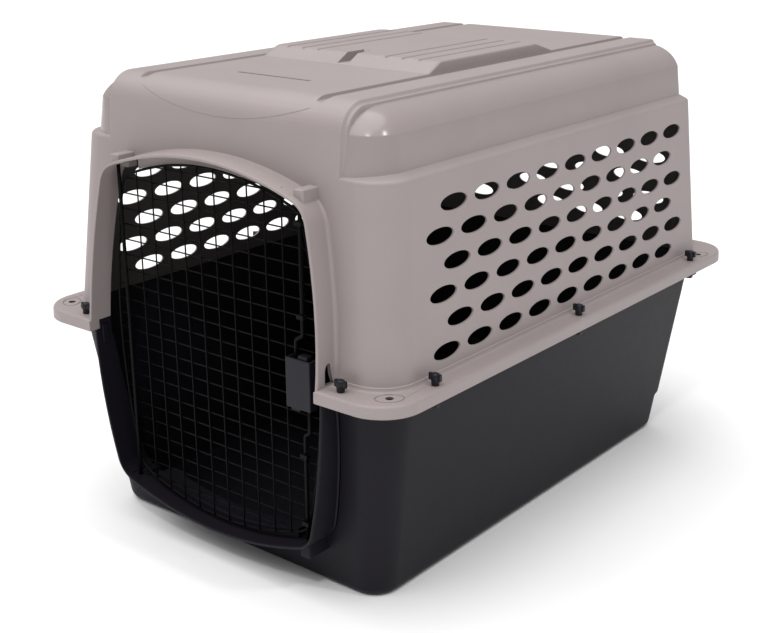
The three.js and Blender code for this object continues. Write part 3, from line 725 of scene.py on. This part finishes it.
def side_vents(side):
    holes = []
    for row in range(SIDE_VENTS["rows"]):
        z = SIDE_VENTS["top"] - row * SIDE_VENTS["row"]
        stagger = SIDE_VENT_STAGGER if (row % 2 == 0) == (side > 0) else 0
        x = side * (SHELL_HALF_X - (z - FLANGE_TOP) * SIDE_DRAFT)
        for column in range(SIDE_VENTS["columns"]):
            y = SIDE_VENTS["first"] + column * SIDE_VENTS["pitch"] + stagger
            holes.append(vent((x, y, z), "x"))
    return holes


def rear_vents():
    holes = []
    middle = (REAR_VENTS["columns"] - 1) / 2
    for row in range(REAR_VENTS["rows"]):
        z = REAR_VENTS["top"] - row * REAR_VENTS["row"]
        stagger = REAR_VENTS["pitch"] / 4 * (1 if row % 2 == 0 else -1)
        y = SHELL_REAR - (z - FLANGE_TOP) * REAR_DRAFT
        for column in range(REAR_VENTS["columns"]):
            holes.append(vent(((column - middle) * REAR_VENTS["pitch"] + stagger, y, z), "y"))
    return holes


def vents():
    return joined("vents", side_vents(-1) + side_vents(1) + rear_vents())


def oval_ring(x, y, turn):
    """Shallow engraved oval round a tie hole; turn is the angle of its long axis."""
    low = FLANGE_TOP - 0.9
    high = FLANGE_TOP + 1
    cos, sin = math.cos(turn), math.sin(turn)
    rings = []
    for half_a, half_b, z in ((15.2, 10.2, low), (16.8, 11.8, low), (16.8, 11.8, high), (15.2, 10.2, high)):
        ring = []
        for i in range(36):
            t = 2 * math.pi * i / 36
            a = half_a * math.cos(t)
            b = half_b * math.sin(t)
            ring.append((x + a * cos - b * sin, y + a * sin + b * cos, z))
        rings.append(ring)
    return loft("engraved_ring", rings, SHELL_MATERIALS, closed=True)


def tie_hole(x, y, materials, material_index=0):
    profile = [(TIE_HOLE_R, LIP_BOTTOM - 8), (TIE_HOLE_R, FLANGE_TOP + 12)]
    return lathe("tie_hole", profile, (x, y, 0), materials, 24, material_index)


def flange_details():
    """Cutters for the tie holes, their engraved ovals and, at the front, a short engraved line."""
    tools = []
    for x, y in TIE_HOLES:
        # The tie holes' walls take the dark painted-shade material, a painted shade inside the holes.
        tools.append(tie_hole(x, y, SHELL_MATERIALS, PAINTED_SHADE))
        at_front = y < 0
        side = math.copysign(1, x)
        tools.append(oval_ring(x, y, side * math.radians(48 if at_front else 70)))
        if at_front:
            z = FLANGE_TOP + 0.4
            tail = [(x + side * 12, y + 12, z), (x + side * 11, y + 47, z)]
            tools.append(tube("engraved_tail", tail, 1.1, SHELL_MATERIALS, 10))
    return tools


def flange_solid():
    rings = [
        flange_plan(LIP_BOTTOM, WALL - 0.2),
        flange_plan(LIP_BOTTOM, 0.9),
        flange_plan(LIP_BOTTOM + 0.8, 0),
        flange_plan(FLANGE_TOP - 4, 0.4),
        flange_plan(FLANGE_TOP - 2, 0.9),
        flange_plan(FLANGE_TOP - 0.6, 2.1),
        flange_plan(FLANGE_TOP, 4.2),
        flange_plan(FLANGE_TOP, 9),
    ]
    rim = loft("flange", rings, SHELL_MATERIALS)
    below = [flange_plan(z, WALL) for z in (LIP_BOTTOM - 20, SEAM)]
    cut(rim, loft("flange_underside", below, SHELL_MATERIALS))
    inside = [shell_plan(z, 1.5) for z in (SEAM - 20, FLANGE_TOP + 20)]
    return cut(rim, loft("flange_hole", inside, SHELL_MATERIALS))


def lip_return(side, clearance, materials):
    """The flange's lip turning back beside the doorway, or the room for it where there is a clearance."""
    middle = side * (HOOD["half_x"] + HOOD_WALL / 2)
    half = HOOD_WALL / 2 + clearance
    y = (-FLANGE_HALF_Y - 2 * clearance, LIP_RETURN_REAR + clearance)
    z = (LIP_BOTTOM - clearance, FLANGE_TOP - 1 + clearance)
    round_by = 0 if clearance else 1.2
    return block("lip_return", (middle - half, middle + half), y, z, materials, round_by)


def cut_inside(shell):
    """Hollow the shell: the room between the walls, the room under the pads and that under the roof. The
    faces these cut take the dark painted-shade material.
    """
    walls = [shell_plan(z, WALL) for z in (SEAM - 10, LEDGE_Z - WALL + 1)]
    pads = [pad_ring(z, inset, 8, WALL) for z, inset in [(SEAM - 10, 3.4), *pad_profile(WALL)[:-2]]]
    roof_edge = [(PANEL_HALF_X - 8, WALL + 0.6), (PANEL_HALF_X - 8.5, WALL + 0.6)]
    return cut(
        shell,
        loft("lower_cavity", walls, SHELL_MATERIALS, PAINTED_SHADE),
        loft("pad_cavity", pads, SHELL_MATERIALS, PAINTED_SHADE),
        band("roof_cavity", roof_edge, PAINTED_SHADE, WALL),
    )


def jamb_slot():
    """Narrow upright slot through the jamb on the latch's side, just above the flange; its walls take the
    dark painted-shade material.
    """
    foot = [(-391.5, 280), (-377.5, 280)]
    back = [(-379, 284), (-381.2, 292), (-382.2, 303)]
    top = [(-385, 304.5), (-388.5, 302), (-390.8, 297)]
    return prism("jamb_slot", foot + back + top, "x", (184, 212), SHELL_MATERIALS, PAINTED_SHADE)


def add_door_frame(shell):
    cut(shell, barrel_prism("doorway", HOOD, 1.5, (-500, -300), SHELL_MATERIALS))
    frame_tube = hood("upper_hood", shell_front, upper_rim, 5, SHELL_MATERIALS)
    add(shell, keep_inside(frame_tube, above_seam(SHELL_MATERIALS)))
    for name, side in (("keeper_a", -1), ("keeper_b", 1)):
        add(shell, keeper(name, side, (-381, -352), (472, 490), SHELL_MATERIALS))
    button = [(3.4, 480), (3.4, 488.2), (2.8, 489), (1.6, 489.2)]
    add(shell, lathe("hood_button", button, (121, -379, 0), SHELL_MATERIALS))
    add(shell, lip_return(-1, 0, SHELL_MATERIALS), lip_return(1, 0, SHELL_MATERIALS))
    cut(shell, barrel_prism("tunnel", HOOD, 0, (-430, STOP_FRONT), SHELL_MATERIALS))
    stop = door_stop("upper_stop", STOP_FRONT + 6, SHELL_MATERIALS)
    add(shell, keep_inside(stop, above_seam(SHELL_MATERIALS)))
    cut(shell, rod_bore("bore_a", -1, 1, SHELL_MATERIALS), rod_bore("bore_b", 1, 1, SHELL_MATERIALS))
    return cut(shell, jamb_slot())


def top_shell():
    shell = wall_solid()
    add(shell, pads_solid(), band_solid(), centre_panel())
    cut(shell, roof_channel(-1), roof_channel(1))
    add(shell, platform())
    cut_inside(shell)
    add(shell, flange_solid())
    add_door_frame(shell)
    cut(shell, vents(), *flange_details())
    mark_z = (ROOF_TOP - 2, 590)
    cut(shell, block("roof_mark", (-58, 58), (-259, -253.4), mark_z, SHELL_MATERIALS, round_by=1.3))
    return finish_surface(shell)


# ------------------------------------------------------------------ base tub
TUB_MATERIALS = (CHARCOAL,)
TUB_TOP = SEAM - GAP


def tub_plan(z, inset=0.0, rear_step=0.0):
    """The tub's walls at height z, moved inwards by inset, and the rear by rear_step more."""
    t = z / LIP_BOTTOM

    def between(low, high):
        return low + (high - low) * t

    return plan(
        z,
        between(FLOOR_HALF_X, TUB_HALF_X) - inset,
        between(FLOOR_FRONT, TUB_FRONT) + inset,
        between(FLOOR_REAR, TUB_REAR) - inset - rear_step,
        max(between(FLOOR_RADIUS, FRONT_RADIUS) - inset, 3),
        max(between(FLOOR_RADIUS - 6, REAR_RADIUS + 6) - inset, 3),
        steps=12,
    )


def tub_solid():
    """The tub's outside, with a rounded floor edge and a small step low on the rear."""
    floor_edge = [(0, 11), (0.5, 7.6), (1.9, 4.4), (4.4, 1.9), (7.6, 0.5), (11, 0)]
    step = [(-4, TUB_STEP), (-0.6, 5.6), (0.8, 1.2), (2.5, 0)]
    rings = [tub_plan(z, inset, TUB_STEP) for z, inset in floor_edge]
    rings += [tub_plan(TUB_STEP_Z + rise, 0, rear_step) for rise, rear_step in step]
    rings.append(tub_plan(TUB_TOP))
    return loft("base_tub_fine", rings, TUB_MATERIALS)


def tub_cavity():
    floor_edge = [(0, WALL + 11), (3.2, WALL + 3.2), (11, WALL)]
    rings = [tub_plan(WALL + rise, inset, TUB_STEP) for rise, inset in floor_edge]
    rings.append(tub_plan(TUB_STEP_Z - 2, WALL, TUB_STEP))
    rings += [tub_plan(z, WALL) for z in (TUB_STEP_Z + 4.5, SEAM + 12)]
    return loft("tub_cavity", rings, TUB_MATERIALS)


def add_bolt_pockets(tub):
    """Blocks under the flange that take the bolts; the two at the front are shorter."""
    for node in sorted(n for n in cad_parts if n.startswith("flange_bolt_")):
        x, y, _ = box_centre(node)
        underside = 266 if y < -380 else LIP_BOTTOM - 6
        x_span = (x - POCKET_HALF, x + POCKET_HALF)
        y_span = (y - POCKET_HALF, y + POCKET_HALF)
        z_span = (underside, TUB_TOP - 1)
        add(tub, block("bolt_pocket", x_span, y_span, z_span, TUB_MATERIALS, round_by=1.2))
        hole = [(BOLT_HOLE_R, 240), (BOLT_HOLE_R, 290)]
        cut(tub, lathe("bolt_hole", hole, (x, y, 0), TUB_MATERIALS, sides=20))


def base_tub():
    tub = tub_solid()
    plate = [flange_plan(z, WALL + 0.7) for z in (TUB_TOP - WALL, TUB_TOP)]
    add(tub, loft("base_flange", plate, TUB_MATERIALS))
    add_bolt_pockets(tub)
    cut(tub, tub_cavity())
    cut(tub, barrel_prism("doorway", HOOD, 1.5, (-500, -300), TUB_MATERIALS))
    frame_tube = hood("lower_hood", tub_front, lower_rim, 3.5, TUB_MATERIALS)
    add(tub, keep_inside(frame_tube, below_seam(TUB_MATERIALS)))
    for name, side in (("keeper_c", -1), ("keeper_d", 1)):
        add(tub, keeper(name, side, (-385, -347), (51, 70.5), TUB_MATERIALS))
    cut(tub, barrel_prism("tunnel", HOOD, 0, (-430, STOP_FRONT), TUB_MATERIALS))
    stop = door_stop("lower_stop", STOP_FRONT + 24, TUB_MATERIALS)
    add(tub, keep_inside(stop, below_seam(TUB_MATERIALS)))
    cut(tub, rod_bore("bore_c", -1, -1, TUB_MATERIALS), rod_bore("bore_d", 1, -1, TUB_MATERIALS))
    cut(tub, lip_return(-1, GAP, TUB_MATERIALS), lip_return(1, GAP, TUB_MATERIALS))
    cut(tub, *[tie_hole(x, y, TUB_MATERIALS) for x, y in TIE_HOLES])
    add(tub, block("jamb_tab", (-188.5, -185.4), (-388, -379), (243, 268), TUB_MATERIALS, round_by=0.8))
    return finish_surface(tub)


# ------------------------------------------------------------------ door
DOOR_MATERIALS = (WIRE,)


def door_half_width(z):
    side = DOOR["half_x"] - z * z / (2 * DOOR["side"])
    arch = math.sqrt(max(0, (DOOR["half_z"] - abs(z)) * 2 * DOOR["arch"]))
    return min(side, arch)


def door_frame_wire():
    """Round wire along the door's barrel outline."""
    rings = []
    outline = barrel(DOOR)
    for i, point in enumerate(outline):
        ahead = outline[(i + 1) % len(outline)]
        behind = outline[i - 1]
        outward = Vector((ahead.y - behind.y, -(ahead.x - behind.x))).normalized()
        ring = []
        for k in range(10):
            t = 2 * math.pi * k / 10
            reach = FRAME_RADIUS * math.cos(t)
            y = WIRE_Y + FRAME_RADIUS * math.sin(t)
            ring.append((point.x + outward.x * reach, y, PANEL_Z + point.y + outward.y * reach))
        rings.append(ring)
    return loft("door_frame_wire", rings, DOOR_MATERIALS, closed=True)


def door_mesh():
    wires = []
    for row in range(LEVEL_WIRES["count"]):
        z = LEVEL_WIRES["top"] - row * LEVEL_WIRES["pitch"]
        x = door_half_width(z)
        path = [(-x, WIRE_Y, PANEL_Z + z), (x, WIRE_Y, PANEL_Z + z)]
        wires.append(tube("wire", path, WIRE_RADIUS, DOOR_MATERIALS, 8))
    for column in range(UPRIGHT_WIRES["count"]):
        x = (column - (UPRIGHT_WIRES["count"] - 1) / 2) * UPRIGHT_WIRES["pitch"]
        z = DOOR["half_z"] - x * x / (2 * DOOR["arch"])
        y = WIRE_Y - 1.9 * WIRE_RADIUS
        path = [(x, y, PANEL_Z - z), (x, y, PANEL_Z + z)]
        wires.append(tube("wire", path, WIRE_RADIUS, DOOR_MATERIALS, 8))
    wires.append(door_frame_wire())
    return finish_surface(joined("door_wire_mesh_fine", wires), sharp=60, weighted=False)


def rod_piece(node, path):
    rod = tube(node + "_fine", smoothed_path(path, ROD_BEND), ROD_RADIUS, DOOR_MATERIALS, 14)
    return finish_surface(rod, sharp=60, weighted=False)


# ------------------------------------------------------------------ latch
LATCH_MATERIALS = (SLATE,)
SLIDER_MATERIALS = (SLIDER,)


def latch_housing():
    x = box_span("latch_housing", 0)
    y = box_span("latch_housing", 1)
    z = box_span("latch_housing", 2)
    middle = sum(z) / 2
    cover = block("latch_housing_fine", x, y, z, LATCH_MATERIALS, round_by=1.1)
    x_span = (x[0] + LATCH_WALL, x[1] - LATCH_WALL)
    y_span = (y[0] + LATCH_WALL, y[1] + 5)
    for z_span in ((middle + LATCH_WEB_HALF, z[1] + 5), (z[0] - 5, middle - LATCH_WEB_HALF)):
        cut(cover, block("hollow", x_span, y_span, z_span, LATCH_MATERIALS))
    return finish_surface(cover)


def latch_slider(node, direction, rod_x, tab_x):
    """Block with a finger tab at its outer end (up or down by direction), bored for its rod."""
    x = box_span(node, 0)
    y = box_span(node, 1)
    low, high = box_span(node, 2)
    middle = (low + high) / 2
    if direction > 0:
        tab_z = (high - TAB_HEIGHT, high)
        body_z = (low, low + SLIDER_HEIGHT)
        hole_z = (middle, high + 2)
    else:
        tab_z = (low, low + TAB_HEIGHT)
        body_z = (high - SLIDER_HEIGHT, high)
        hole_z = (low - 2, middle)
    slider = block(node + "_fine", x, y, body_z, SLIDER_MATERIALS, round_by=0.6)
    tab_span = (tab_x - TAB_HALF_X, tab_x + TAB_HALF_X)
    add(slider, block("finger_tab", tab_span, y, tab_z, SLIDER_MATERIALS, round_by=1.4))
    hole = [(ROD_RADIUS + 0.4, z) for z in hole_z]
    cut(slider, lathe("rod_hole", hole, (rod_x, ROD_Y, 0), SLIDER_MATERIALS, sides=18))
    return finish_surface(slider)


# ------------------------------------------------------------------ wing nuts
KNOB_MATERIALS = (KNOB,)


def wing_nut(node):
    """Round hub with a bar across its top, threaded from below."""
    x, y, _ = box_centre(node)
    base, crest = box_span(node, 2)
    top = crest - base
    hub_foot = [(4.3, 0), (4.6, 0.5), (4.6, 5), (5.2, 6), (5.4, 9)]
    hub_top = [(5.2, top - 3), (4.4, top - 1.2), (2.6, top - 0.2), (0.8, top)]
    nut = lathe(node + "_fine", hub_foot + hub_top, (x, y, base), KNOB_MATERIALS)
    wing_foot = 5.6
    wing_top = top - 0.9
    section = [(-2.1, wing_foot), (2.1, wing_foot), (2.6, 8), (2.3, top - 2.2)]
    section += [(1.4, wing_top), (-1.4, wing_top), (-2.3, top - 2.2), (-2.6, 8)]
    centre_z = (wing_foot + wing_top) / 2
    rings = []
    for reach, scale in ((-8, 0.72), (-7.5, 0.92), (-6, 1), (6, 1), (7.5, 0.92), (8, 0.72)):
        tall = 0.9 + 0.1 * scale
        centre = base + centre_z
        rings.append([(x + reach, y + a * scale, centre + (h - centre_z) * tall) for a, h in section])
    add(nut, loft("wings", rings, KNOB_MATERIALS))
    hole = [(2.75, -1), (2.75, top - 3), (0.8, top - 2)]
    cut(nut, lathe("thread_hole", hole, (x, y, base), KNOB_MATERIALS, sides=18))
    return finish_surface(nut, sharp=38)


# ------------------------------------------------------------------ building, riding and naming
def place(piece, body, slot, *nodes):
    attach(piece, body)
    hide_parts(*nodes)
    return piece


place(top_shell(), "carrier", "taupe_shell", "top_shell")
place(base_tub(), "carrier", "charcoal_tub", "base_tub")
place(door_mesh(), "door", "black_wire", "door_wire_mesh")

low_end, high_end = box_span("door_hinge_rod", 2)
hinge = rod_piece("door_hinge_rod", [(-ROD_X, ROD_Y, low_end + 1), (-ROD_X, ROD_Y, high_end - 1)])
place(hinge, "door", "black_wire", "door_hinge_rod")

low_end, high_end = box_span("latch_rod_upper", 2)
upper_route = [(UPPER_ROD_X, low_end), (UPPER_ROD_X, 317), (ROD_X, 323), (ROD_X, high_end - 1)]
upper_rod = rod_piece("latch_rod_upper", [(x, ROD_Y, z) for x, z in upper_route])
place(upper_rod, "latch_upper", "black_wire", "latch_rod_upper")

low_end, high_end = box_span("latch_rod_lower", 2)
lower_route = [(ROD_X, low_end + 1), (ROD_X, 203.5), (LOWER_ROD_X, 208), (LOWER_ROD_X, high_end)]
lower_rod = rod_piece("latch_rod_lower", [(x, ROD_Y, z) for x, z in lower_route])
place(lower_rod, "latch_lower", "black_wire", "latch_rod_lower")

place(latch_housing(), "door", "slate_latch", "latch_housing")
upper_slider = latch_slider("latch_slider_upper", 1, UPPER_ROD_X, UPPER_TAB_X)
place(upper_slider, "latch_upper", "slate_latch", "latch_slider_upper")
lower_slider = latch_slider("latch_slider_lower", -1, LOWER_ROD_X, LOWER_TAB_X)
place(lower_slider, "latch_lower", "slate_latch", "latch_slider_lower")
for number in range(1, 9):
    nut_node = f"wing_nut_{number}"
    place(wing_nut(nut_node), f"nut_{number}", "dark_hardware", nut_node)

CAD_LOOKS = {"rod_guide_": WIRE, "latch_spring_": SPRING, "flange_bolt_": KNOB, "latch_back_plate": SLATE}
for node_name, node_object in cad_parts.items():
    for prefix, look in CAD_LOOKS.items():
        if node_name.startswith(prefix):
            node_object.data.materials.clear()
            node_object.data.materials.append(look)

# ------------------------------------------------------------------ floor, light and camera, places in metres
STUDIO_HALF = 9000
SOFTBOXES = (
    ("softbox_front", (0.93, -1.83, 2.41), 13),
    ("softbox_side", (1.86, -0.16, 2.41), 11),
)
CAMERA_PLACE = (1.0668, -1.3699, 0.8097)
CAMERA_TURN = (38.92, 19.62, -0.22)   # yaw, pitch and roll in degrees

floor_corners = [(x * STUDIO_HALF, y * STUDIO_HALF, 0) for x, y in ((-1, -1), (1, -1), (1, 1), (-1, 1))]
floor = new_piece("floor", floor_corners, [(0, 1, 2, 3)], [FLOOR])
floor.location.z = -0.0004

world = bpy.data.worlds.new("studio")
bpy.context.scene.world = world
world.use_nodes = True
sky = world.node_tree.nodes["Background"]
sky.inputs["Color"].default_value = (1, 1, 1, 1)
sky.inputs["Strength"].default_value = 0.42


def lamp(name, kind, position, target, power):
    light = bpy.data.lights.new(name, kind)
    light.energy = power
    holder = bpy.data.objects.new(name, light)
    holder.location = position
    holder.rotation_mode = "QUATERNION"
    holder.rotation_quaternion = (Vector(target) - Vector(position)).to_track_quat("-Z", "Y")
    bpy.context.scene.collection.objects.link(holder)
    return light


lamp("ceiling", "SUN", (-0.7, -0.4, 3), (0, 0, 0), 2.85).angle = math.radians(80)
for name, position, power in SOFTBOXES:
    softbox = lamp(name, "AREA", position, (0, 0, 0.4), power)
    softbox.shape = "RECTANGLE"
    softbox.size = 0.1
    softbox.size_y = 0.2

camera_data = bpy.data.cameras.new("camera")
camera = bpy.data.objects.new("camera", camera_data)
bpy.context.scene.collection.objects.link(camera)
bpy.context.scene.camera = camera
yaw, pitch, roll = (math.radians(angle) for angle in CAMERA_TURN)
back = Vector((math.sin(yaw) * math.cos(pitch), -math.cos(yaw) * math.cos(pitch), math.sin(pitch)))
right = Vector((math.cos(yaw), math.sin(yaw), 0))
up = back.cross(right)
axes = Matrix((right, up, back)).transposed() @ Matrix.Rotation(roll, 3, "Z")
camera.matrix_world = Matrix.Translation(CAMERA_PLACE) @ axes.to_4x4()
camera_data.sensor_width = 36
camera_data.lens = 60.25
camera_data.shift_x = 0.0036
camera_data.shift_y = 0.0198

bpy.context.scene.view_settings.view_transform = "Standard"
